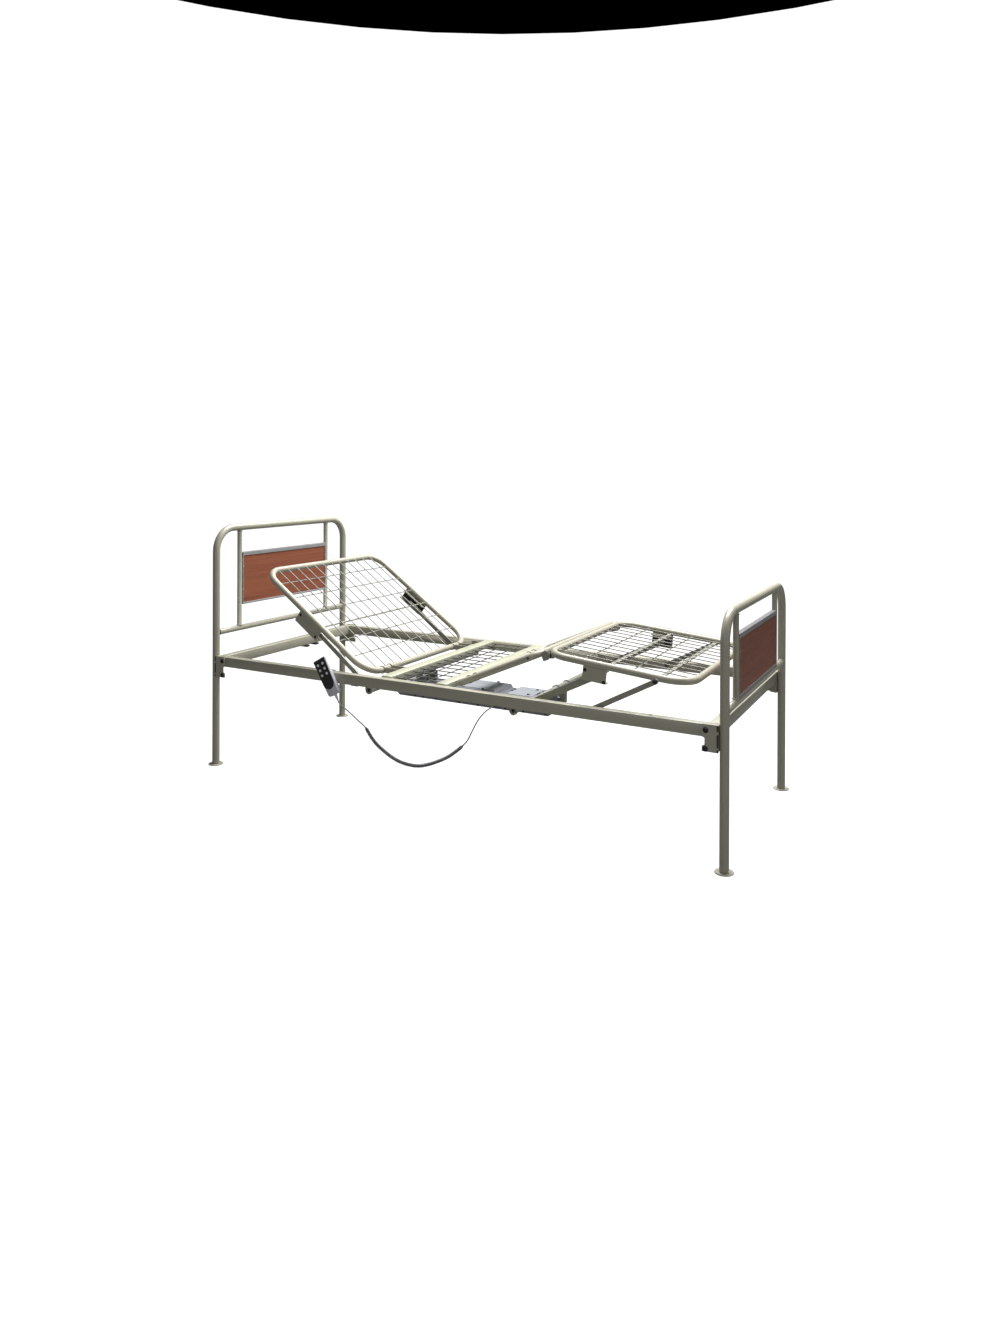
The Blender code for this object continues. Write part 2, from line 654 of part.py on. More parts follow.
def lift_shaft(name, shaft, roller, elbow, web_y, lever, lean, height):
    """Torsion shaft between the rails with two lift arms and the lever that the drive pushes."""
    x, z = shaft
    reach = POST_Y - RAIL_W / 2 - GAP
    base = rod((x, -reach, z), (x, reach, z), SHAFT_R, 24)
    arm_y = web_y - SHEET - 0.0225 - GAP - 0.0002 - ARM_T / 2
    pieces = []
    for _, side in SIDES:
        path = [shaft, elbow, roller] if elbow else [shaft, roller]
        pieces.append(flat_bar(path, height, side * arm_y, ARM_T))
        pin_end = arm_y + ARM_T / 2 + 0.0205
        at = Vector((roller[0], side * arm_y, roller[1]))
        pieces.append(rod(at, (roller[0], side * pin_end, roller[1]), 0.005, 16))
    tip = (x + lever * math.sin(lean), z - lever * math.cos(lean))
    pieces.append(flat_bar([shaft, tip], 0.020, 0.0, 0.012))
    thing = combine(base, pieces)
    axis = axis_empty(f"{name}_axis", x, z)
    thing.data.transform(Matrix.Translation((-x, 0.0, -z)))
    place(thing, name, "steel", axis)
    profile = ((ROLLER_R - 0.001, ROLLER_W / 2), (ROLLER_R, ROLLER_W / 2 - 0.001),
               (ROLLER_R, -ROLLER_W / 2 + 0.001), (ROLLER_R - 0.001, -ROLLER_W / 2),
               (0.0053, -ROLLER_W / 2), (0.0053, ROLLER_W / 2), (ROLLER_R - 0.001, ROLLER_W / 2))
    turn = Matrix.Rotation(math.radians(90.0), 4, "X")
    for side_name, side in SIDES:
        y = side * (arm_y + ARM_T / 2 + 0.0005 + ROLLER_W / 2)
        wheel = solid(turned(profile, turn, 20))
        wheel.location = (roller[0] - x, y, roller[1] - z)
        place(wheel, f"{name.split('_')[0]}_roller_{side_name}", "black_plastic", axis)


def lift_gear():
    roller = from_section(BACK_HINGE, BACK_ANGLE, BACK_ROLLER, -1)
    along = (Vector(roller) - Vector(BACK_SHAFT)).normalized()
    below = Vector((-along.y, along.x))
    elbow = tuple(Vector(BACK_SHAFT) + along * 0.085 + below * 0.022)
    lift_shaft("back_lift_shaft", BACK_SHAFT, roller, elbow, BACK_HALF + 0.0015, BACK_LEVER, 0.0, 0.018)

    knee = from_section(THIGH_HINGE, THIGH_ANGLE, (THIGH_LENGTH + KNEE_AHEAD, -KNEE_BELOW), 1)
    point = (LEG_ROLLER[0], KNEE_BELOW + LEG_ROLLER[1])
    roller = from_section(knee, -CALF_SLOPE, point, 1)
    lift_shaft("leg_lift_shaft", LEG_SHAFT, roller, None, LEG_HALF + 0.0015, LEG_LEVER, LEG_LEVER_LEAN, 0.024)


def stays():
    x, z = STAY_PIVOT
    axis = axis_empty("stay_axis", x, z, -STAY_ANGLE)
    for name, side in SIDES:
        strip = flat_bar([(0.0, 0.0), (STAY_LENGTH, 0.0)], 0.018, side * STAY_Y, STAY_T)
        hole = rod((0.0, side * STAY_Y - 0.01, 0.0), (0.0, side * STAY_Y + 0.01, 0.0), 0.0045, 16)
        place(cut(strip, [hole]), f"calf_stay_{name}", "steel", axis)


# ---- twin drive -------------------------------------------------------------------------------
def drive():
    profile = ((-0.395, 0.308), (-0.385, 0.297), (0.300, 0.297), (0.312, 0.305), (0.312, 0.346),
               (0.296, 0.350), (0.244, 0.350), (0.236, 0.359), (0.112, 0.359), (0.106, 0.350),
               (0.074, 0.350), (0.068, 0.364), (-0.131, 0.364), (-0.140, 0.350), (-0.385, 0.346),
               (-0.395, 0.338))
    body = soften(solid(plate((profile,), 2 * DRIVE_HALF_Y, upright_plane(0.0))), 0.003, 1)
    x, z = BACK_SHAFT
    lx, lz = LEG_SHAFT
    slots = [box((x - 0.056, -SLOT_HALF_Y, 0.303), (x + 0.116, SLOT_HALF_Y, 0.40)),
             box((lx - 0.105, -SLOT_HALF_Y, 0.310), (lx + 0.02, SLOT_HALF_Y, 0.40))]
    body = cut(body, slots)
    hangers = []
    for (cx, cz), reach in ((BACK_SHAFT, (-0.022, 0.022)), (LEG_SHAFT, (-0.060, 0.0))):
        for y in (-0.045, 0.045):
            ring = circle((cx, cz), EYE_R, 24)
            hangers.append(plate((ring, circle((cx, cz), EYE_HOLE)), 0.008, upright_plane(y)))
            top = cz - EYE_HOLE - 0.001
            hangers.append(box((cx + reach[0], y - 0.004, 0.330), (cx + reach[1], y + 0.004, top)))
    place(combine(body, hangers), "drive_housing", "drive_plastic")

    tip = BACK_SHAFT[0]
    half = SLOT_HALF_Y - 0.001
    block = box((tip + 0.011, -half, 0.3033), (tip + 0.071, half, z - BACK_LEVER))
    place(soften(block, 0.001, 1), "drive_slider_head", "black_plastic")
    tip = lx + LEG_LEVER * math.sin(LEG_LEVER_LEAN)
    top = lz - LEG_LEVER
    block = box((tip - 0.071, -half, 0.3103), (tip - 0.011, half, top))
    place(soften(block, 0.001, 1), "drive_slider_foot", "black_plastic")


# ---- handset and cord ---------------------------------------------------------------------------
def button_places():
    """Centres of the buttons in the handset's own plane, as (name, x, z)."""
    rows = ("back", "leg", "both")
    return [(f"button_{row}_{way}", x, HANDSET_H / 2 - 0.022 - 0.021 * index)
            for index, row in enumerate(rows) for way, x in (("up", -0.0125), ("down", 0.0125))]


def handset():
    tilt = Matrix.Translation(HANDSET_CENTRE) @ Matrix.Rotation(HANDSET_TILT, 4, "Y")
    half_w, half_h = HANDSET_W / 2, HANDSET_H / 2
    narrow = half_w - 0.005
    outline = ((-narrow + 0.006, -half_h), (narrow - 0.006, -half_h), (narrow, -half_h + 0.008),
               (half_w, half_h - 0.003), (half_w - 0.003, half_h),
               (-half_w + 0.003, half_h), (-half_w, half_h - 0.003), (-narrow, -half_h + 0.008))
    case = solid(plate((outline,), HANDSET_T, tilt @ upright_plane(0.0)))
    lean = Matrix.Rotation(math.asin((HANDSET_T - HANDSET_THIN) / HANDSET_H), 4, "X")
    behind = tilt @ Matrix.Translation((0.0, HANDSET_T / 2, -half_h)) @ lean
    case = soften(cut(case, [box((-HANDSET_W, 0.0, -0.05), (HANDSET_W, 0.05, 0.25), behind)]), 0.002)
    down = tilt.to_3x3() @ Vector((0.0, 0.0, -1.0))
    turn = Matrix.Translation(tilt @ Vector((0.0, 0.0, -half_h + 0.004))) @ down.to_track_quat(
        "Z", "Y").to_matrix().to_4x4()
    relief = turned(((0.0, 0.026), (0.0036, 0.026), (0.0062, 0.0), (0.0, 0.0)), turn, 16)
    hook_x = HANDSET_CENTRE[0] - 0.0083
    over = box((hook_x - 0.010, -0.4510, RAIL_TOP + 0.0006), (hook_x + 0.010, -0.4046, RAIL_TOP + 0.0036))
    leg = box((hook_x - 0.010, -0.4076, RAIL_TOP - 0.014), (hook_x + 0.010, -0.4046, RAIL_TOP + 0.0036))
    hook = combine(over, [leg])
    place(combine(case, [relief, hook]), "handset_case", "handset_plastic")

    face = -HANDSET_T / 2 - GAP
    pad_half = 0.0270
    low = -0.022
    top = half_h - 0.0035
    pad = [(-pad_half, top), *circle((0.0, low), pad_half, 14, math.pi, math.pi), (pad_half, top)]
    holes = [circle((x, z), BUTTON_R + 0.0006, 16) for _, x, z in button_places()]
    keypad = plate((pad, *holes), 0.0015, tilt @ upright_plane(face - 0.00075))
    place(solid(keypad), "handset_keypad", "black_plastic")
    for name, x, z in button_places():
        start = tilt @ Vector((x, face - 0.0013, z))
        end = tilt @ Vector((x, face - 0.0030, z))
        place(rod(start, end, BUTTON_R, 16), name, "button_plastic")


def cord():
    route = smooth_route(CORD_ROUTE)
    start, end = (CORD_PARTS * index for index in COIL_SPAN)
    stretches = (("cord_handset_lead", route[:start + 1], CORD_STEP, CORD_R),
                 ("cord_curly_part", route[start:end + 1], COIL_STEP, COIL_R),
                 ("cord_drive_lead", route[end:], CORD_STEP, CORD_R))
    for name, points, step, radius in stretches:
        place(tube(even_points(points, step), radius, resolution=2), name, "cord_plastic")
    x, z = GLAND
    turn = Matrix.Translation((x, -DRIVE_HALF_Y - GAP, z)) @ Matrix.Rotation(math.radians(90.0), 4, "X")
    profile = ((0.0, GLAND_LENGTH), (0.0042, GLAND_LENGTH), (0.0060, 0.008), (0.0090, 0.006), (0.0090, 0.0),
               (0.0, 0.0))
    place(solid(turned(profile, turn, 16)), "cord_gland", "black_plastic")


clear_scene()
PARTS = make_collection("hospital_bed")
end_frame("head", -1, HEAD_TOP, HEAD_CROSSBAR, HEAD_PANEL_Z)
end_frame("foot", 1, FOOT_TOP, FOOT_CROSSBAR, FOOT_PANEL_Z)
for side_label, side_sign in SIDES:
    side_rail(side_label, side_sign)
for end_label, end_sign in (("head", -1), ("foot", 1)):
    cross_beam(end_label, end_sign)
    for side_label, side_sign in SIDES:
        corner_bracket(end_label, end_sign, side_label, side_sign)
fixed_seat()
back_section()
leg_sections()
lift_gear()
stays()
drive()
handset()
cord()
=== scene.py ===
"""Looks of the adjustable hospital bed: coated tube, welded wire, laminate, drive, handset and cord."""
import json
import math

import bmesh
import bpy
from mathutils import Matrix, Vector, noise

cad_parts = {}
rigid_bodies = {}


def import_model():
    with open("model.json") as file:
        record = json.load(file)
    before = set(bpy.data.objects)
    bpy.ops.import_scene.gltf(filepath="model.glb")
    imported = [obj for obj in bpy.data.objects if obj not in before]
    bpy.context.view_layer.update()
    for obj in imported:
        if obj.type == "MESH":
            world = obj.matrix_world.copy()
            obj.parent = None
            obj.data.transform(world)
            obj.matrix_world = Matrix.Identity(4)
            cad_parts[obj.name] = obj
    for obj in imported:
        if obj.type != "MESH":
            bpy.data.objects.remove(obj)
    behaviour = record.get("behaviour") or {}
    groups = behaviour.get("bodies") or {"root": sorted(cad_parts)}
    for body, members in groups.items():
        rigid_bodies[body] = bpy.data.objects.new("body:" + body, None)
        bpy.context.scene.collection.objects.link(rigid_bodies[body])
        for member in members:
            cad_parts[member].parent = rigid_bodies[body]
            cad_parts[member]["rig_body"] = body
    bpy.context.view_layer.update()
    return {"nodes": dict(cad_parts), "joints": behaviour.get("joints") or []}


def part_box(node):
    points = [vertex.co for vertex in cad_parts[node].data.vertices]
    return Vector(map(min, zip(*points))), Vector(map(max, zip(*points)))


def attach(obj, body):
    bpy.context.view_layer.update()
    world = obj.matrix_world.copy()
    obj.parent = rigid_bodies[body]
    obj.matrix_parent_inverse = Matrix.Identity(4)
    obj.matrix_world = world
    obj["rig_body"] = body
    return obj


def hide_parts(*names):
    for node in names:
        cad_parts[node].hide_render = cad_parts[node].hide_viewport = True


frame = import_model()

PIVOTS = {joint["name"]: Vector(joint["pos_m"]) for joint in frame["joints"] if "pos_m" in joint}
SIDES = (("right", -1), ("left", 1))

# ---- the bed's driving dimensions ------------------------------------------------------
TUBE_R = 0.015          # end hoops
HOOP_BEND = 0.095
LOOP_R = 0.0125         # platform tubes
BACK_SLOPE = math.radians(35.0)
BACK_LENGTH = 0.634
BACK_HALF = 0.380
BACK_BENDS = (0.090, 0.075)
THIGH_SLOPE = math.radians(23.4)
THIGH_LENGTH = 0.357
LEG_HALF = 0.360
THIGH_BEND = 0.040
CALF_SLOPE = math.radians(-5.5)
CALF_START = 0.014
CALF_LENGTH = 0.5096
CALF_BENDS = (0.070, 0.090)
KNEE_BELOW = 0.020
WIRE_R = 0.0021
THICK_WIRE_R = 0.0032
WIRE_LIFT = 0.004       # where the wires cross, above a loop's middle
LENGTHWISE_WIRES = 12
RAIL_Y = 0.4233         # middle of a side rail and of the posts, from the bed's middle
RAIL_INNER = 0.0155     # from a rail's middle to just past its inner face
UPRIGHT_Y = 0.289       # uprights of the inner frames
BACK_ROD_Y = 0.4015     # the rods that stop the mattress
CALF_ROD_Y = 0.3783

# ---- cord ------------------------------------------------------------------------------
CORD_ROUTE = ((-0.4095, -0.4505, 0.3565), (-0.4038, -0.4502, 0.3466), (-0.3935, -0.4495, 0.3370),
              (-0.3720, -0.4460, 0.3230), (-0.3490, -0.4420, 0.3065), (-0.3240, -0.4375, 0.2870),
              (-0.2930, -0.4310, 0.2620), (-0.2720, -0.4250, 0.2290), (-0.2460, -0.4150, 0.1960),
              (-0.1980, -0.3960, 0.1560), (-0.1570, -0.3780, 0.1340), (-0.1130, -0.3560, 0.1240),
              (-0.0760, -0.3380, 0.1290), (-0.0400, -0.3180, 0.1420), (-0.0100, -0.3010, 0.1570),
              (0.0160, -0.2830, 0.1770), (0.0380, -0.2650, 0.1990), (0.0500, -0.2500, 0.2180),
              (0.0590, -0.2330, 0.2480), (0.0680, -0.2040, 0.2830), (0.0790, -0.1700, 0.3080),
              (0.0900, -0.1380, 0.3190), (0.0950, -0.1058, 0.3210))
COIL_SPAN = (6, 16)     # points of the route where the curly stretch starts and ends
CORD_R = 0.0025
CURL_R = 0.0050         # middle of the cord from the curly stretch's axis
CURL_PITCH = 0.0060
CURL_EASE = 0.012       # how far the first and the last turn take to open
TURN_POINTS = 12
JACKET_CHANGE = (-0.297, -0.291)    # along the bed, where the pale lead turns into the dark curl

LIGHTS = (("key", (0.2, 1.3, 4.0), 0.3, 3.2, 470.0),
          ("front_fill", (1.2, -5.0, 1.6), 0.5, 3.0, 42.0),
          ("foot_fill", (5.2, -1.0, 1.6), 0.5, 3.0, 30.0),
          ("head_fill", (-5.2, 0.6, 1.8), 0.5, 3.0, 14.0),
          ("left_fill", (-0.5, 5.2, 1.8), 0.5, 3.0, 16.0))


# ---- camera ------------------------------------------------------------------------------
def make_camera():
    """The viewing place: standing off the foot end's right-hand corner, at about eye level."""
    yaw, pitch, roll = math.radians(28.327), math.radians(0.121), math.radians(0.215)
    ahead = Vector((-math.sin(yaw) * math.cos(pitch), math.cos(yaw) * math.cos(pitch), -math.sin(pitch)))
    level = Vector((math.cos(yaw), math.sin(yaw), 0.0))
    above = level.cross(ahead)
    right = level * math.cos(roll) + above * math.sin(roll)
    up = above * math.cos(roll) - level * math.sin(roll)
    data = bpy.data.cameras.new("view")
    data.lens = 25.28
    data.sensor_width = 36.0
    data.shift_x = -0.0006
    data.shift_y = -0.1479
    camera = bpy.data.objects.new("view", data)
    turn = Matrix((right, up, -ahead)).transposed().to_4x4()
    camera.matrix_world = Matrix.Translation((1.8178, -3.2754, 1.2654)) @ turn
    bpy.context.scene.collection.objects.link(camera)
    bpy.context.scene.camera = camera


# ---- node materials ------------------------------------------------------------------------
class Shader:
    """A small helper that adds nodes to one Principled material."""

    def __init__(self, name, roughness, metallic=0.0, coat=0.0):
        self.material = bpy.data.materials.new(name)
        self.material.use_nodes = True
        self.tree = self.material.node_tree
        self.surface = self.tree.nodes["Principled BSDF"]
        self.surface.inputs["Roughness"].default_value = roughness
        self.surface.inputs["Metallic"].default_value = metallic
        self.surface.inputs["Coat Weight"].default_value = coat
        self.surface.inputs["Coat Roughness"].default_value = 0.2
        self.place = self.tree.nodes.new("ShaderNodeTexCoord").outputs["Object"]

    def noise(self, scale, stretch=(1, 1, 1), detail=3.0, distortion=0.0):
        mapping = self.tree.nodes.new("ShaderNodeMapping")
        mapping.inputs["Scale"].default_value = stretch
        self.tree.links.new(self.place, mapping.inputs["Vector"])
        texture = self.tree.nodes.new("ShaderNodeTexNoise")
        texture.inputs["Scale"].default_value = scale
        texture.inputs["Detail"].default_value = detail
        texture.inputs["Distortion"].default_value = distortion
        self.tree.links.new(mapping.outputs["Vector"], texture.inputs["Vector"])
        return texture.outputs["Fac"]

    def ramp(self, value, *stops):
        """Colours at places along a value, as (place, colour)."""
        node = self.tree.nodes.new("ShaderNodeValToRGB")
        while len(node.color_ramp.elements) < len(stops):
            node.color_ramp.elements.new(0.5)
        for element, (place, colour) in zip(node.color_ramp.elements, stops):
            element.position = place
            element.color = (*colour, 1.0)
        self.tree.links.new(value, node.inputs["Fac"])
        return node.outputs["Color"]

    def mix(self, share, first, second):
        node = self.tree.nodes.new("ShaderNodeMix")
        node.data_type = "RGBA"
        sockets = [socket for socket in node.inputs if socket.type == "RGBA"]
        if isinstance(share, float):
            node.inputs[0].default_value = share
        else:
            self.tree.links.new(share, node.inputs[0])
        self.tree.links.new(first, sockets[0])
        self.tree.links.new(second, sockets[1])
        return next(socket for socket in node.outputs if socket.type == "RGBA")

    def spread(self, value, low, high, to_low, to_high):
        node = self.tree.nodes.new("ShaderNodeMapRange")
        for name, number in (("From Min", low), ("From Max", high), ("To Min", to_low), ("To Max", to_high)):
            node.inputs[name].default_value = number
        self.tree.links.new(value, node.inputs["Value"])
        return node.outputs["Result"]

    def bump(self, height, strength, distance):
        node = self.tree.nodes.new("ShaderNodeBump")
        node.inputs["Strength"].default_value = strength
        node.inputs["Distance"].default_value = distance
        self.tree.links.new(height, node.inputs["Height"])
        self.tree.links.new(node.outputs["Normal"], self.surface.inputs["Normal"])

    def set(self, socket, value):
        self.tree.links.new(value, self.surface.inputs[socket])


def shade(colour, factor):
    return tuple(min(1.0, part * factor) for part in colour)


def powder_coat(name, colour, roughness=0.42, metallic=0.0):
    """Sprayed powder coat: faint clouding, orange-peel bump and a few rubbed, duller patches."""
    shader = Shader(name, roughness, metallic, coat=0.25)
    cloud = shader.noise(5.0, detail=5.0)
    speck = shader.noise(420.0, detail=2.0)
    base = shader.ramp(cloud, (0.3, shade(colour, 0.93)), (0.7, colour))
    dots = shader.ramp(speck, (0.30, shade(colour, 0.80)), (0.42, colour))
    shader.set("Base Color", shader.mix(0.35, base, dots))
    rubbed = shader.noise(38.0, detail=4.0)
    shader.set("Roughness", shader.spread(rubbed, 0.3, 0.7, roughness - 0.08, roughness + 0.10))
    shader.bump(shader.noise(700.0, detail=1.5), 0.10, 0.0004)
    return shader.material


def moulded(name, colour, roughness=0.5, coat=0.0):
    """Moulded plastic with a spark-eroded grain and slight handling marks."""
    shader = Shader(name, roughness, 0.0, coat)
    cloud = shader.noise(22.0, detail=4.0)
    shader.set("Base Color", shader.ramp(cloud, (0.25, shade(colour, 0.86)), (0.75, shade(colour, 1.06))))
    shader.set("Roughness", shader.spread(shader.noise(60.0), 0.3, 0.7, roughness - 0.07, roughness + 0.09))
    shader.bump(shader.noise(900.0, detail=2.0), 0.16, 0.0003)
    return shader.material


def cord_jacket(name, dark, pale):
    """The cord's jacket: dark over the curly stretch, paler on the straight lead to the handset."""
    shader = Shader(name, 0.55)
    cloud = shader.noise(22.0, detail=4.0)
    curly = shader.ramp(cloud, (0.25, shade(dark, 0.86)), (0.75, shade(dark, 1.06)))
    lead = shader.ramp(cloud, (0.25, shade(pale, 0.90)), (0.75, shade(pale, 1.04)))
    split = shader.tree.nodes.new("ShaderNodeSeparateXYZ")
    shader.tree.links.new(shader.place, split.inputs["Vector"])
    share = shader.spread(split.outputs["X"], *JACKET_CHANGE, 0.0, 1.0)
    shader.set("Base Color", shader.mix(share, lead, curly))
    shader.bump(shader.noise(300.0, detail=2.0), 0.16, 0.0003)
    return shader.material


def zinc(name, colour, roughness=0.34):
    """Plated steel: cloudy spangle and fine drawn lines."""
    shader = Shader(name, roughness, 0.85)
    cloud = shader.noise(90.0, detail=4.0)
    lines = shader.noise(60.0, (1.0, 1.0, 30.0))
    first = shader.ramp(cloud, (0.3, shade(colour, 0.75)), (0.7, colour))
    second = shader.ramp(lines, (0.3, shade(colour, 0.7)), (0.7, shade(colour, 1.15)))
    shader.set("Base Color", shader.mix(0.35, first, second))
    shader.set("Roughness", shader.spread(cloud, 0.3, 0.7, roughness - 0.08, roughness + 0.14))
    shader.bump(lines, 0.10, 0.0003)
    return shader.material


def laminate(name, colour):
    """Reddish-brown wood laminate; the grain runs across the bed."""
    shader = Shader(name, 0.45)
    broad = shader.noise(2.2, (1.0, 0.55, 22.0), 4.0, 1.4)
    pores = shader.noise(9.0, (1.0, 1.5, 120.0), 3.0)
    figure = shader.ramp(broad, (0.28, shade(colour, 0.62)), (0.46, colour), (0.60, shade(colour, 1.22)),
                         (0.74, shade(colour, 0.84)))
    streaks = shader.ramp(pores, (0.36, shade(colour, 0.45)), (0.50, colour))
    shader.set("Base Color", shader.mix(0.38, figure, streaks))
    shader.set("Roughness", shader.spread(pores, 0.3, 0.6, 0.60, 0.48))
    shader.bump(pores, 0.12, 0.0003)
    return shader.material


CREAM = (0.365, 0.350, 0.275)
BAR = (0.420, 0.425, 0.320)
FINISHES = {
    "cream": (powder_coat("cream_powder_coat", CREAM), "cream_paint"),
    "bar": (powder_coat("bar_powder_coat", BAR), "bar_paint"),
    "wire": (powder_coat("wire_powder_coat", (0.250, 0.245, 0.205), 0.40), "wire_paint"),
    # the seat wires: the same wire coat painted darker, as painted shade for their shaded, grazing view
    "seat_wire_shaded": (powder_coat("seat_wire_shaded_coat", (0.120, 0.118, 0.095), 0.42), "wire_paint"),
    "flat_steel": (powder_coat("flat_steel_coat", (0.27, 0.265, 0.22), 0.40, 0.15), "steel"),
    "zinc": (zinc("zinc_plate", (0.60, 0.60, 0.58)), "steel"),
    "wood": (laminate("panel_laminate", (0.250, 0.075, 0.035)), "wood"),
    "trim": (moulded("panel_trim", (0.27, 0.265, 0.27), 0.40), "trim"),
    "drive": (moulded("drive_plastic", (0.200, 0.212, 0.240), 0.48), "drive_plastic"),
    "drive_lid": (moulded("drive_lid_plastic", (0.270, 0.285, 0.310), 0.46), "drive_plastic"),
    "black": (moulded("black_plastic", (0.018, 0.018, 0.020), 0.48), "black_plastic"),
    "bolt": (zinc("black_bolt_steel", (0.045, 0.045, 0.048), 0.42), "black_plastic"),
    "handset": (moulded("handset_plastic", (0.56, 0.55, 0.62), 0.36, 0.2), "handset_plastic"),
    "button": (moulded("button_plastic", (0.86, 0.86, 0.88), 0.32, 0.3), "button_plastic"),
    "cord": (cord_jacket("cord_jacket", (0.15, 0.15, 0.16), (0.36, 0.36, 0.39)), "cord_plastic"),
}


# ---- pieces ----------------------------------------------------------------------------------
def add(name, data, finish, body, stands_for=()):
    """A new piece of the bed: it rides on a body and takes a finish."""
    material, slot = FINISHES[finish]
    data.materials.clear()
    data.materials.append(material)
    piece = bpy.data.objects.new(name, data)
    bpy.context.scene.collection.objects.link(piece)
    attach(piece, body)
    if stands_for:
        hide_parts(*stands_for)
    return piece


def body_of(node):
    return frame["nodes"][node]["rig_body"]


def smooth(mesh, angle=38.0):
    mesh.shade_smooth()
    mesh.set_sharp_from_angle(angle=math.radians(angle))
    return mesh


def dress(node, finish, edge=0.0):
    """A finer copy of a CAD node that stands for it: clean faces, smooth rounds and softened edges."""
    bm = bmesh.new()
    bm.from_mesh(frame["nodes"][node].data)
    bmesh.ops.remove_doubles(bm, verts=bm.verts, dist=0.00001)
    bmesh.ops.dissolve_limit(bm, angle_limit=math.radians(1.0), verts=bm.verts, edges=bm.edges)
    mesh = bpy.data.meshes.new(f"{node}_look")
    bm.to_mesh(mesh)
    bm.free()
    piece = add(f"{node}_look", smooth(mesh), finish, body_of(node), (node,))
    if edge:
        bevel = piece.modifiers.new("soft edges", "BEVEL")
        bevel.width = edge
        bevel.segments = 3
        bevel.limit_method = "ANGLE"
        bevel.angle_limit = math.radians(40.0)
        bevel.harden_normals = True
    return piece


def curve_data(name, lines, radius, cyclic=False, sides=12):
    """Round wires or tubes along polylines, as one curve."""
    curve = bpy.data.curves.new(name, "CURVE")
    curve.dimensions = "3D"
    curve.bevel_depth = radius
    curve.bevel_resolution = (sides - 4) // 2
    curve.use_fill_caps = True
    for line in lines:
        spline = curve.splines.new("POLY")
        spline.points.add(len(line) - 1)
        for index, point in enumerate(line):
            spline.points[index].co = (*point, 1.0)
        spline.use_cyclic_u = cyclic
        spline.use_smooth = True
    return curve


def bent_path(corners, bends, steps=12):
    """A path whose corners are arcs of the given radii (0 leaves an end as it is)."""
    points = []
    count = len(corners)
    for index, corner in enumerate(corners):
        if bends[index] == 0.0:
            points.append(Vector(corner))
            continue
        before = (corners[(index - 1) % count] - corner).normalized()
        after = (corners[(index + 1) % count] - corner).normalized()
        half = before.angle(after) / 2
        reach = bends[index] / math.tan(half)
        centre = corner + (before + after).normalized() * (bends[index] / math.sin(half))
        start, end = corner + before * reach - centre, corner + after * reach - centre
        sweep = start.angle(end)
        for step in range(steps + 1):
            part = step / steps * sweep
            points.append(centre + (start * math.sin(sweep - part) + end * math.sin(part)) / math.sin(sweep))
    return points


def turned(name, profile, centre, axis, finish, body, steps):
    """A turned piece: (radius, height) along an axis, from its far end down to its base."""
    bm = bmesh.new()
    turn = Vector(axis).to_track_quat("Z", "Y").to_matrix().to_4x4()
    place = Matrix.Translation(centre) @ turn
    rings = []
    for radius, height in profile:
        ring = []
        for step in range(steps):
            angle = math.tau * step / steps
            point = Vector((radius * math.cos(angle), radius * math.sin(angle), height))
            ring.append(bm.verts.new(place @ point))
        rings.append(ring)
    for upper, lower in zip(rings, rings[1:]):
        for step in range(steps):
            after = (step + 1) % steps
            bm.faces.new((upper[step], lower[step], lower[after], upper[after]))
    bm.faces.new(rings[0])
    bm.faces.new(tuple(reversed(rings[-1])))
    bmesh.ops.remove_doubles(bm, verts=bm.verts, dist=0.000001)
    bmesh.ops.recalc_face_normals(bm, faces=bm.faces)
    mesh = bpy.data.meshes.new(name)
    bm.to_mesh(mesh)
    bm.free()
    return add(name, smooth(mesh, 50.0), finish, body)


def bolt(name, centre, axis, radius, finish="bolt", body="base"):
    """A domed bolt head with a shallow socket, on its washer."""
    r = radius
    profile = ((r * 0.30, r * 0.42), (r * 0.34, r * 0.72), (r * 0.62, r * 0.66), (r * 0.88, r * 0.42),
               (r * 0.97, r * 0.16), (r * 1.30, r * 0.14), (r * 1.36, r * 0.08), (r * 1.36, 0.0))
    return turned(name, profile, centre, axis, finish, body, 20)


def weld(name, centre, axis, radius, body="base", bead=0.0016):
    """A fillet weld round a tube: a ring of small overlapping ripples."""
    turn = Vector(axis).to_track_quat("Z", "Y").to_matrix()
    points = []
    for step in range(48):
        angle = math.tau * step / 48
        ripple = 1.0 + 0.03 * math.sin(16 * angle)
        points.append(Vector(centre) + turn @ Vector((radius * ripple * math.cos(angle),
                                                       radius * ripple * math.sin(angle), 0.0)))
    return add(name, curve_data(name, [points], bead, True, 8), "cream", body)


def slab(name, outline, plane, thickness, finish, body, edge=0.0006):
    """A flat piece from an outline; plane turns the outline's x, y and thickness into places."""
    bm = bmesh.new()
    lower = [bm.verts.new(plane(x, y, -thickness / 2)) for x, y in outline]
    upper = [bm.verts.new(plane(x, y, thickness / 2)) for x, y in outline]
    bm.faces.new(lower)
    bm.faces.new(tuple(reversed(upper)))
    count = len(outline)
    for index in range(count):
        after = (index + 1) % count
        bm.faces.new((lower[index], upper[index], upper[after], lower[after]))
    bmesh.ops.recalc_face_normals(bm, faces=bm.faces)
    mesh = bpy.data.meshes.new(name)
    bm.to_mesh(mesh)
    bm.free()
    piece = add(name, smooth(mesh), finish, body)
    bevel = piece.modifiers.new("soft edges", "BEVEL")
    bevel.width = edge
    bevel.segments = 2
    bevel.limit_method = "ANGLE"
    bevel.angle_limit = math.radians(35.0)
    bevel.harden_normals = True
    return piece


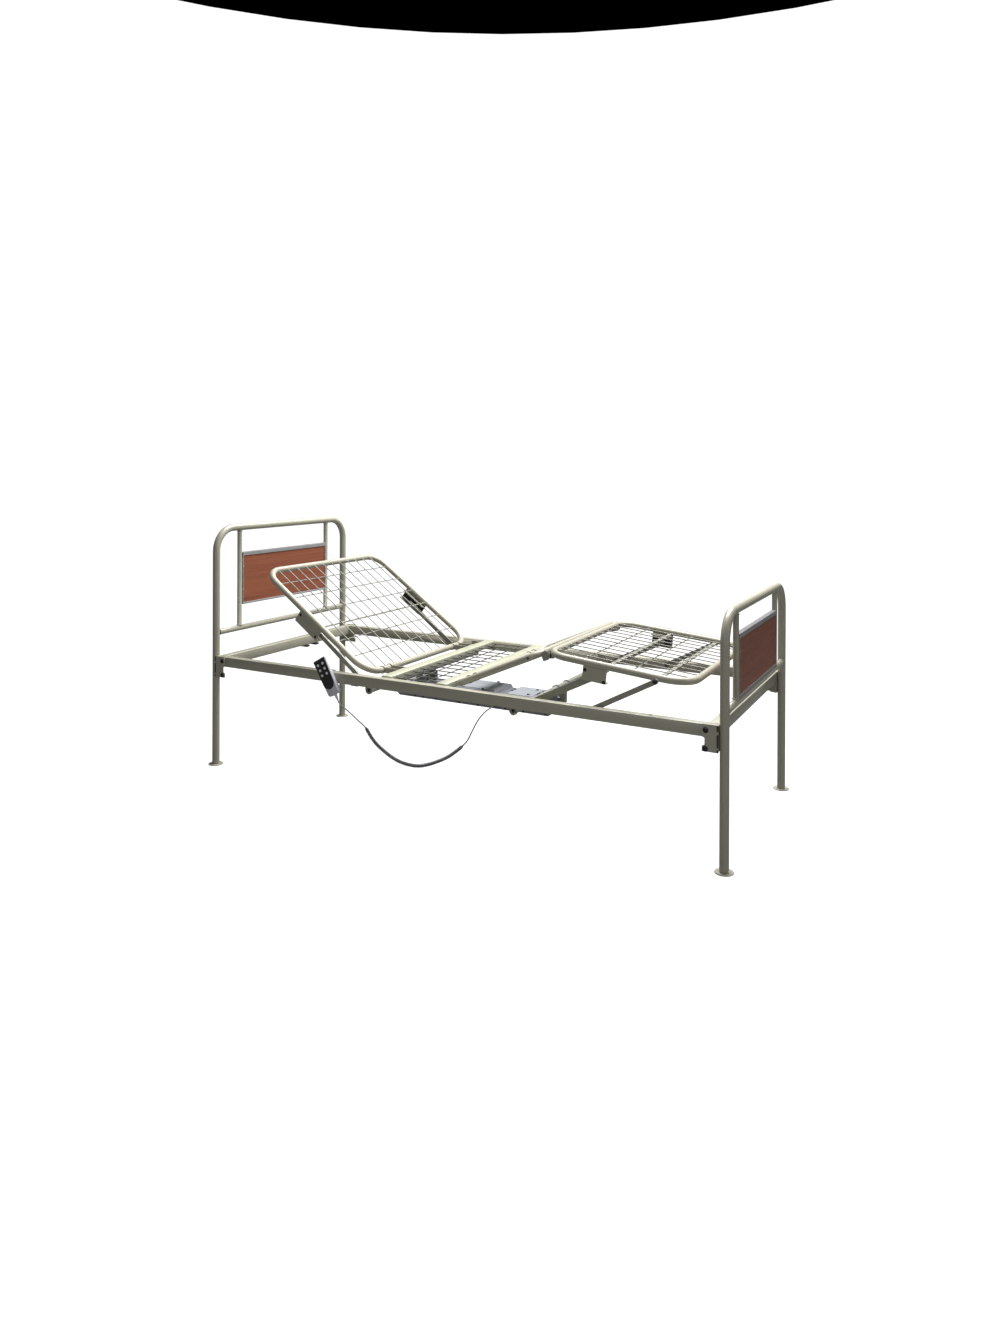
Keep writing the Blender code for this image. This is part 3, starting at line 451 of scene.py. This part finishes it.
def rounded_box(name, low, high, finish, body, edge=0.002):
    (x0, y0, z0), (x1, y1, z1) = low, high
    outline = ((x0, y0), (x1, y0), (x1, y1), (x0, y1))
    middle = (z0 + z1) / 2
    return slab(name, outline, lambda x, y, t: Vector((x, y, middle + t)), z1 - z0, finish, body, edge)


def arc(centre, radius, start, sweep, count=12):
    return [(centre[0] + radius * math.cos(start + sweep * i / (count - 1)),
             centre[1] + radius * math.sin(start + sweep * i / (count - 1))) for i in range(count)]


# ---- cord ------------------------------------------------------------------------------------
def smooth_route(route, parts):
    """The smooth curve through a route's own points."""
    route = [Vector(point) for point in route]
    padded = [2 * route[0] - route[1], *route, 2 * route[-1] - route[-2]]
    points = []
    for index in range(len(route) - 1):
        a, b, c, d = padded[index:index + 4]
        for step in range(parts):
            t = step / parts
            points.append((2 * b + (c - a) * t + (2 * a - 5 * b + 4 * c - d) * t ** 2
                           + (3 * b - a - 3 * c + d) * t ** 3) / 2)
    points.append(route[-1])
    return points


def along(points, distances):
    """Places and directions at distances along a fine polyline."""
    found = []
    travelled = 0.0
    index = 0
    for distance in distances:
        while index < len(points) - 2 and travelled + (points[index + 1] - points[index]).length < distance:
            travelled += (points[index + 1] - points[index]).length
            index += 1
        stretch = points[index + 1] - points[index]
        share = min(1.0, (distance - travelled) / stretch.length)
        found.append((points[index] + stretch * share, stretch.normalized()))
    return found


def length_of(points):
    return sum((after - before).length for before, after in zip(points, points[1:]))


def curled(points):
    """The helix that a curly stretch makes round its own axis, opening and closing over its ends."""
    total = length_of(points)
    turns = total / CURL_PITCH
    count = int(turns * TURN_POINTS)
    places = along(points, [total * i / count for i in range(count + 1)])
    side = places[0][1].cross(Vector((0, 0, 1))).normalized()
    helix = []
    for index, (middle, heading) in enumerate(places):
        side = (side - heading * side.dot(heading)).normalized()
        other = heading.cross(side)
        distance = total * index / count
        opening = min(1.0, distance / CURL_EASE, (total - distance) / CURL_EASE)
        reach = CURL_R * math.sin(opening * math.pi / 2)
        angle = math.tau * turns * index / count
        helix.append(middle + (side * math.cos(angle) + other * math.sin(angle)) * reach)
    return helix


def make_cord():
    parts = 8
    fine = smooth_route(CORD_ROUTE, parts)
    start, end = (index * parts for index in COIL_SPAN)
    line = [*fine[:start], *curled(fine[start:end + 1]), *fine[end + 1:]]
    nodes = ("cord_handset_lead", "cord_curly_part", "cord_drive_lead")
    cord = add("handset_cord", curve_data("handset_cord", [line], CORD_R, sides=8), "cord", "base", nodes)
    gland = dress("cord_gland", "black", 0.0006)
    round(length_of(line), 3)


# ---- end frames --------------------------------------------------------------------------------
def end_frame(end, sign):
    low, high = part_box(f"{end}_hoop")
    x = (low.x + high.x) / 2
    reach, top = high.y - TUBE_R, high.z - TUBE_R
    corners = [Vector((x, -reach, low.z)), Vector((x, -reach, top)), Vector((x, reach, top)),
               Vector((x, reach, low.z))]
    path = bent_path(corners, (0.0, HOOP_BEND, HOOP_BEND, 0.0))
    add(f"{end}_hoop_tube", curve_data(f"{end}_hoop_tube", [path], TUBE_R, sides=28), "cream", "base",
        (f"{end}_hoop",))
    dress(f"{end}_inner_frame", "cream", 0.0)
    dress(f"{end}_panel", "wood", 0.0012)
    dress(f"{end}_panel_trim", "trim", 0.0015)
    low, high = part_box(f"{end}_inner_frame")
    bar_z = low.z + 0.012
    for name, side in SIDES:
        dress(f"{end}_foot_{name}", "cream", 0.0008)
        weld(f"{end}_crossbar_weld_{name}", (x, side * (high.y - 0.0012), bar_z), (0, 1, 0), 0.0125)
        weld(f"{end}_upright_weld_{name}", (x, side * UPRIGHT_Y, bar_z + 0.0125), (0, 0, 1), 0.0105)
        weld(f"{end}_upright_top_weld_{name}", (x, side * UPRIGHT_Y, high.z - 0.0010), (0, 0, 1), 0.0105)
        bracket_details(end, sign, name, side)
        for level in (0.28, 0.72):
            panel_low, panel_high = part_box(f"{end}_panel_trim")
            z = panel_low.z + (panel_high.z - panel_low.z) * level
            for face in (-1, 1):
                bolt(f"{end}_panel_screw_{name}_{face + 1}_{int(level * 100)}",
                     (x + face * 0.0100, side * 0.275, z), (face, 0, 0), 0.0022, "zinc")


def bracket_details(end, sign, name, side):
    """Black bolts on the outer plate that ties a side rail to its post, and black strips as painted shade in
    its slots and in the gap beside the post.
    """
    dress(f"{end}_bracket_{name}", "cream", 0.0010)
    low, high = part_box(f"{end}_bracket_{name}")
    face = low.y if side < 0 else high.y
    near = (high.x if sign > 0 else low.x)
    for index, (inset, z) in enumerate(((0.0435, high.z - 0.0190), (0.0450, low.z + 0.0090))):
        centre = (near - sign * (inset - 0.004), face, z)
        bolt(f"{end}_bracket_bolt_{name}_{index}", centre, (0, side, 0), 0.0068)
    # black strips as painted shade in the plate's slots and in the gap beside the post
    for index, (z0, z1) in enumerate(((low.z + 0.001, low.z + 0.009), (low.z + 0.016, low.z + 0.056),
                                      (high.z - 0.020, high.z - 0.002))):
        x0, x1 = sorted((near - sign * 0.0050, near + sign * 0.0002))
        y0, y1 = sorted((face - side * 0.0030, face + side * 0.0006))
        rounded_box(f"{end}_bracket_slot_{name}_{index}", (x0, y0, z0), (x1, y1, z1), "black", "base", 0.0002)
    if end == "head":
        return
    inner = side * (RAIL_Y - RAIL_INNER)
    outline = ((1.0540, 0.4150), (1.0200, 0.4150), (1.0300, 0.3760), (1.0540, 0.3740))
    slab(f"{end}_bracket_gusset_{name}", outline, lambda x, y, t: Vector((x, inner + t, y)), 0.002,
         "flat_steel", "base")


# ---- base frame --------------------------------------------------------------------------------
def base_frame():
    for name, side in SIDES:
        dress(f"side_rail_{name}", "cream", 0.0)
        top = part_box("head_beam")[1].z
        for index, x in enumerate((0.831, -0.640)):
            bolt(f"rail_peg_{name}_{index}", (x, side * RAIL_Y, top), (0, 0, 1), 0.0045, "flat_steel")
        for lift in ("back_lift_turn", "leg_lift_turn"):
            centre = PIVOTS[lift]
            bolt(f"{lift}_cap_{name}", (centre.x, side * 0.4090, centre.z), (0, side, 0), 0.0048)
            rounded_box(f"{lift}_clip_{name}", (centre.x - 0.076, side * 0.4160 - 0.005, 0.4085),
                        (centre.x - 0.044, side * 0.4160 + 0.005, 0.4160), "black", "base", 0.0015)
    for end in ("head", "foot"):
        dress(f"{end}_beam", "cream", 0.0)
    low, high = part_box("head_beam")
    for index, y in enumerate((0.085, 0.150)):
        rounded_box(f"head_beam_buffer_{index}", (low.x - 0.001, y, low.z - 0.010),
                    (high.x + 0.006, y + 0.022, low.z),
                    "black", "base", 0.003)


# ---- platform ------------------------------------------------------------------------------------
def section(origin, slope, heading, plane=0.0):
    """Turns (along, across, above) of a section into a place; heading is +1 towards the foot end."""
    def place(distance, across, above=0.0):
        above += plane
        x = origin.x + heading * (distance * math.cos(slope) - above * math.sin(slope))
        return Vector((x, across, origin.z + distance * math.sin(slope) + above * math.cos(slope)))
    return place


def loop(name, place, start, end, half, bends, body):
    corners = [place(start, -half), place(end, -half), place(end, half), place(start, half)]
    path = bent_path(corners, (bends[0], bends[1], bends[1], bends[0]))
    add(f"{name}_tube", curve_data(f"{name}_tube", [path], LOOP_R, True, 24), "cream", body, (name,))


def wire_ends(start, end, half, bends, across):
    """Where a lengthwise wire meets the rounded loop, at a distance across from the middle."""
    ends = []
    for edge, bend, sign in ((start, bends[0], 1), (end, bends[1], -1)):
        over = abs(across) - (half - bend)
        sag = bend - math.sqrt(bend ** 2 - over ** 2) if over > 0 else 0.0
        ends.append(edge + sign * sag)
    return ends


def cross_reach(start, end, half, bends, distance):
    """How far a crosswise wire reaches before it meets the loop."""
    for edge, bend in ((start, bends[0]), (end, bends[1])):
        over = bend - abs(distance - edge)
        if over > 0:
            return half - bend + math.sqrt(bend ** 2 - over ** 2)
    return half


def waver(point, amount=0.0006):
    """Welded wires are never quite straight."""
    return point + Vector((0.0, 0.0, 1.0)) * amount * noise.noise(point * 9.0)


def wire_field(name, node, place, span, half, bends, body, lengthwise, crosswise, height=WIRE_LIFT):
    """Lengthwise wires laid on crosswise ones, each welded to the loop's inner side."""
    start, end = span
    shares = [i / 10 for i in range(11)]
    lines = []
    pitch = 2 * half / (lengthwise + 1)
    for index in range(lengthwise):
        across = -half + pitch * (index + 1)
        first, last = wire_ends(start, end, half, bends, across)
        line = [place(first + (last - first) * share, across, height + WIRE_R) for share in shares]
        lines.append([waver(point) for point in line])
    for distance in crosswise:
        reach = cross_reach(start, end, half, bends, distance)
        lines.append([waver(place(distance, reach * (2 * share - 1), height - WIRE_R)) for share in shares])
    return add(name, curve_data(name, lines, WIRE_R, sides=8), "wire", body, (node,))


def spots(name, place, span, half, lengthwise, crosswise, body, height=WIRE_LIFT):
    """Weld spots where the wires cross: small flattened beads."""
    bm = bmesh.new()
    pitch = 2 * half / (lengthwise + 1)
    for index in range(lengthwise):
        across = -half + pitch * (index + 1)
        for distance in crosswise:
            if span[0] + 0.03 < distance < span[1] - 0.03:
                spot = Matrix.Diagonal((0.0030, 0.0030, 0.0026, 1))
                shape = Matrix.Translation(place(distance, across, height)) @ spot
                bmesh.ops.create_icosphere(bm, subdivisions=1, radius=1.0, matrix=shape)
    mesh = bpy.data.meshes.new(name)
    bm.to_mesh(mesh)
    bm.free()
    return add(name, smooth(mesh, 60.0), "wire", body)


def fixed_seat():
    dress("seat_bar_head", "bar", 0.0)
    dress("seat_bar_foot", "bar", 0.0)
    low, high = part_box("seat_mesh")
    z = (low.z + high.z) / 2
    lines = []
    count = 14
    for index in range(count):
        y = low.y + (high.y - low.y) * (index + 0.5) / count
        lines.append([waver(Vector((low.x + (high.x - low.x) * i / 6, y, z + WIRE_R))) for i in range(7)])
    for share in (0.06, 0.35, 0.65, 0.94):
        x = low.x + (high.x - low.x) * share
        lines.append([waver(Vector((x, low.y + (high.y - low.y) * i / 10, z - WIRE_R))) for i in range(11)])
    # the seat wires take the darker seat coat: painted shade on the same wire
    add("seat_wires", curve_data("seat_wires", lines, WIRE_R, sides=8), "seat_wire_shaded", "base", ("seat_mesh",))
    for joint in ("back_hinge", "thigh_hinge"):
        for name, _ in SIDES:
            dress(f"{joint}_{name}", "cream", 0.0006)


def back_section():
    place = section(PIVOTS["back_hinge"], BACK_SLOPE, -1)
    loop("back_frame", place, 0.0, BACK_LENGTH, BACK_HALF, BACK_BENDS, "back")
    inner = (LOOP_R * 0.6, BACK_LENGTH - LOOP_R * 0.6)
    half = BACK_HALF - LOOP_R * 0.6
    bends = tuple(bend - LOOP_R * 0.6 for bend in BACK_BENDS)
    crosswise = (0.100, 0.190, 0.370, 0.460, 0.550)
    wire_field("back_wires", "back_mesh", place, inner, half, bends, "back", LENGTHWISE_WIRES, crosswise)
    spots("back_wire_welds", place, inner, half, LENGTHWISE_WIRES, crosswise, "back")
    brace = [place(0.280, -half + 2 * half * i / 8, 0.0022 - THICK_WIRE_R) for i in range(9)]
    wire = curve_data("back_brace_wire", [brace], THICK_WIRE_R, sides=10)
    add("back_brace_wire", wire, "flat_steel", "back")
    for name, side in SIDES:
        dress(f"back_guide_{name}", "cream", 0.0008)
        dress(f"back_roller_{name}", "black", 0.0010)
        # black strip inside the guide channel, as painted shade
        guide_shade_sheet(f"back_guide_shade_sheet_{name}", place, side * (BACK_HALF - 0.0024), 0.335, 0.062, "back")
        for index, (distance, above) in enumerate(((0.281, -0.050), (0.389, -0.026))):
            bolt(f"back_guide_bolt_{name}_{index}", place(distance, side * (BACK_HALF + 0.0015), above),
                 (0, side, 0), 0.0042, body="back")
    top, bottom = place(0.570, BACK_ROD_Y), place(0.110, BACK_ROD_Y)
    side_rod("back_side_rod", top, bottom, place(0.545, BACK_HALF), place(0.135, BACK_HALF), "back")


def guide_shade_sheet(name, place, across, centre, half_length, body):
    """Black strip on a guide's web, behind the roller: painted shade for the channel's shadowed inside."""
    outline = ((centre - half_length, -0.0165), (centre + half_length, -0.0165),
               (centre + half_length, 0.0165), (centre - half_length, 0.0165))
    slab(name, outline, lambda x, y, t: place(x, across + t, y - 0.0405), 0.0012, "black", body, 0.0002)


def side_rod(name, top, bottom, top_foot, bottom_foot, body):
    """The thin rod outside the left tube that stops the mattress, on two short stand-offs."""
    posts = [[top_foot, Vector((top_foot.x, top.y, top_foot.z))],
             [bottom_foot, Vector((bottom_foot.x, bottom.y, bottom_foot.z))]]
    add(name, curve_data(name, [[top, bottom], *posts], 0.0040, sides=12), "flat_steel", body)


def knee_leaf(name, place, across, direction, body):
    """One leaf of the knee hinge: round at the pin, with a web that is welded to the end tube."""
    radius = 0.0095
    points = arc((0.0, 0.0), radius, math.radians(90.0 * direction), math.pi, 14)
    if direction > 0:
        outline = [*points, (0.018, -0.0060), (0.018, KNEE_BELOW), (0.0008, KNEE_BELOW)]
    else:
        outline = [*points, (-0.0008, KNEE_BELOW), (-0.018, KNEE_BELOW), (-0.018, -0.0060)]
    slab(name, outline, lambda x, y, t: place(x, across + t, y), 0.005, "flat_steel", body)


def leg_sections():
    thigh = section(PIVOTS["thigh_hinge"], THIGH_SLOPE, 1)
    loop("thigh_frame", thigh, 0.0, THIGH_LENGTH, LEG_HALF, (THIGH_BEND, THIGH_BEND), "thigh")
    inner = (LOOP_R * 0.6, THIGH_LENGTH - LOOP_R * 0.6)
    half = LEG_HALF - LOOP_R * 0.6
    bends = (THIGH_BEND - LOOP_R * 0.6,) * 2
    crosswise = (0.09, 0.18, 0.27)
    wire_field("thigh_wires", "thigh_mesh", thigh, inner, half, bends, "thigh", LENGTHWISE_WIRES,
               crosswise, 0.0)
    spots("thigh_wire_welds", thigh, inner, half, LENGTHWISE_WIRES, crosswise, "thigh", 0.0)

    knee = PIVOTS["knee_hinge"]
    calf = section(knee, CALF_SLOPE, 1, KNEE_BELOW)
    end = CALF_START + CALF_LENGTH
    loop("calf_frame", calf, CALF_START, end, LEG_HALF, CALF_BENDS, "calf")
    inner = (CALF_START + LOOP_R * 0.6, end - LOOP_R * 0.6)
    bends = tuple(bend - LOOP_R * 0.6 for bend in CALF_BENDS)
    crosswise = (0.14, 0.32)
    wire_field("calf_wires", "calf_mesh", calf, inner, half, bends, "calf", LENGTHWISE_WIRES, crosswise)
    spots("calf_wire_welds", calf, inner, half, LENGTHWISE_WIRES, crosswise, "calf")
    for index, distance in enumerate((0.233, 0.417)):
        outline = ((distance - 0.0075, -half), (distance + 0.0075, -half), (distance + 0.0075, half),
                   (distance - 0.0075, half))
        slab(f"calf_brace_{index}", outline, lambda x, y, t: calf(x, y, t - 0.0035), 0.004,
             "flat_steel", "calf")
    at_thigh = section(knee, THIGH_SLOPE, 1)
    at_calf = section(knee, CALF_SLOPE, 1)
    for name, side in SIDES:
        knee_leaf(f"knee_leaf_thigh_{name}", at_thigh, side * 0.3025, -1, "thigh")
        knee_leaf(f"knee_leaf_calf_{name}", at_calf, side * 0.3080, 1, "calf")
        bolt(f"knee_bolt_{name}", (knee.x, side * 0.3105, knee.z), (0, side, 0), 0.0056, body="calf")
        cover = ((-0.012, -0.010), (0.010, -0.010), (0.017, 0.000), (0.017, 0.018), (0.010, 0.024),
                 (-0.012, 0.020))
        slab(f"knee_cover_{name}", cover, lambda x, y, t, side=side: at_thigh(x, side * 0.3440 + t, y), 0.006,
             "flat_steel", "thigh", 0.0012)
        bolt(f"knee_tube_bolt_{name}", at_thigh(-0.052, side * (LEG_HALF + 0.0118), KNEE_BELOW), (0, side, 0),
             0.0036, "bolt", "thigh")
        dress(f"calf_guide_{name}", "cream", 0.0008)
        dress(f"leg_roller_{name}", "black", 0.0010)
        # black strip inside the guide channel, as painted shade
        guide_shade_sheet(f"calf_guide_shade_sheet_{name}", calf, side * (LEG_HALF - 0.0024), 0.1935, 0.040, "calf")
        for index, (distance, above) in enumerate(((0.158, -0.0265), (0.229, -0.0560))):
            bolt(f"calf_guide_bolt_{name}_{index}", calf(distance, side * (LEG_HALF + 0.0015), above),
                 (0, side, 0), 0.0046, body="calf")
    side_rod("calf_side_rod", calf(0.140, CALF_ROD_Y, 0.008), calf(0.425, CALF_ROD_Y, 0.008),
             calf(0.165, LEG_HALF), calf(0.400, LEG_HALF), "calf")
    return calf


# ---- lift gear -------------------------------------------------------------------------------------
def lift_gear(calf):
    for node in ("back_lift_shaft", "leg_lift_shaft"):
        dress(node, "flat_steel", 0.0010)
    for name, side in SIDES:
        dress(f"calf_stay_{name}", "flat_steel", 0.0006)
        upper = calf(0.415, 0.0, -0.008)
        turned(f"stay_spacer_{name}", ((0.0045, 0.0165), (0.0045, 0.0)), (upper.x, side * 0.3705, upper.z),
               (0, side, 0), "zinc", "calf", 16)
        bolt(f"stay_upper_bolt_{name}", (upper.x, side * 0.3872, upper.z), (0, side, 0), 0.0062, body="calf")
        pivot = PIVOTS["stay_turn"]
        bolt(f"stay_lower_bolt_{name}", (pivot.x, side * 0.3812, pivot.z), (0, -side, 0), 0.0055)


# ---- drive and handset ----------------------------------------------------------------------------------
def drive():
    dress("drive_housing", "drive", 0.0016)
    dress("drive_slider_head", "black", 0.0008)
    dress("drive_slider_foot", "black", 0.0008)
    low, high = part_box("drive_housing")
    half = high.y
    # raised covers over the gear case and the spindle on the foot side
    covers = (("gear", -0.128, 0.064, 0.3640, 0.0030), ("foot", 0.116, 0.222, 0.3590, 0.0025))
    for name, x0, x1, z, rise in covers:
        outline = ((x0, -half + 0.012), (x1, -half + 0.012), (x1, half - 0.012), (x0, half - 0.012))
        middle = z + rise / 2 - 0.0003
        slab(f"drive_cover_{name}", outline, lambda x, y, t, middle=middle: Vector((x, y, middle + t)),
             rise, "drive_lid", "base", 0.0012)
    screws = ((0.010, 0.066), (0.070, 0.062), (0.114, 0.011), (0.200, 0.042), (0.300, 0.055), (-0.120, 0.066),
              (-0.170, 0.060), (-0.375, 0.055))
    for index, (x, y) in enumerate(screws):
        for name, side in SIDES:
            bolt(f"drive_screw_{index}_{name}", (x, side * y, top_of_drive(x)), (0, 0, 1), 0.0050)
    clips = (-0.305, -0.266, -0.203, -0.094, -0.006, 0.116, 0.147, 0.195, 0.290)
    seam = []
    for name, side in SIDES:
        y = side * (half + 0.0001)
        seam.append([Vector((low.x + 0.002, y, 0.322)), Vector((high.x - 0.001, y, 0.322))])
        for x in (-0.30, -0.22, -0.14, 0.07, 0.11, 0.24):
            seam.append([Vector((x, y, 0.326)), Vector((x, y, 0.345))])
        for index, x in enumerate(clips):
            turned(f"drive_clip_{index}_{name}", ((0.0028, 0.0016), (0.0042, 0.0008), (0.0042, 0.0)),
                   (x, side * half, 0.3030), (0, side, 0), "black", "base", 16)
    add("drive_seams", curve_data("drive_seams", seam, 0.0007, sides=6), "black", "base")


def top_of_drive(x):
    """Height of the drive's uppermost face at a place along the bed."""
    if x < -0.131:
        return 0.3495
    if x < 0.069:
        return 0.3668
    if x < 0.110 or x > 0.240:
        return 0.3500
    return 0.3613


def handset():
    dress("handset_case", "handset", 0.0008)
    dress("handset_keypad", "black", 0.0003)
    for node in frame["nodes"]:
        if node.startswith("button_"):
            dress(node, "button", 0.0005)


# ---- studio ----------------------------------------------------------------------------------------
def area_light(name, place, target, size, power):
    light = bpy.data.lights.new(name, "AREA")
    light.shape = "SQUARE"
    light.size = size
    light.energy = power
    lamp = bpy.data.objects.new(name, light)
    heading = (Vector(target) - Vector(place)).to_track_quat("-Z", "Y").to_matrix().to_4x4()
    lamp.matrix_world = Matrix.Translation(place) @ heading
    bpy.context.scene.collection.objects.link(lamp)


def studio():
    """A white floor that sweeps up all round, a soft key light overhead and weaker fills."""
    radius, sweep = 10.0, 3.0
    profile = [(0.0, 0.0), *[(radius + sweep * math.sin(a), sweep - sweep * math.cos(a))
                             for a in (math.radians(9.0 * i) for i in range(11))], (radius + sweep, 9.0)]
    bm = bmesh.new()
    turn = [math.tau * i / 64 for i in range(64)]
    rows = [[bm.verts.new((r * math.cos(a), r * math.sin(a), z - 0.0002)) for a in turn]
            for r, z in profile[1:]]
    middle = bm.verts.new((0.0, 0.0, -0.0002))
    for i in range(64):
        bm.faces.new((middle, rows[0][i], rows[0][(i + 1) % 64]))
        for lower, upper in zip(rows, rows[1:]):
            bm.faces.new((lower[i], upper[i], upper[(i + 1) % 64], lower[(i + 1) % 64]))
    mesh = bpy.data.meshes.new("floor")
    bm.to_mesh(mesh)
    bm.free()
    floor = bpy.data.objects.new("floor", smooth(mesh, 60.0))
    bpy.context.scene.collection.objects.link(floor)
    shader = Shader("white_floor", 0.9)
    shader.surface.inputs["Base Color"].default_value = (0.10, 0.10, 0.10, 1.0)
    shader.surface.inputs["Emission Strength"].default_value = 1.0
    glow = shader.ramp(shader.noise(0.5), (0.3, (0.985, 0.985, 0.985)), (0.7, (1.0, 1.0, 1.0)))
    shader.set("Emission Color", glow)
    mesh.materials.append(shader.material)
    lit = bpy.data.collections.new("lit_by_floor")
    lit.objects.link(floor)
    floor.light_linking.receiver_collection = lit

    for name, place, aim, size, power in LIGHTS:
        area_light(name, place, (0.0, 0.0, aim), size, power)
    bpy.context.scene.view_settings.view_transform = "Standard"


make_camera()
make_cord()
end_frame("head", -1)
end_frame("foot", 1)
base_frame()
fixed_seat()
back_section()
lift_gear(leg_sections())
drive()
handset()
studio()
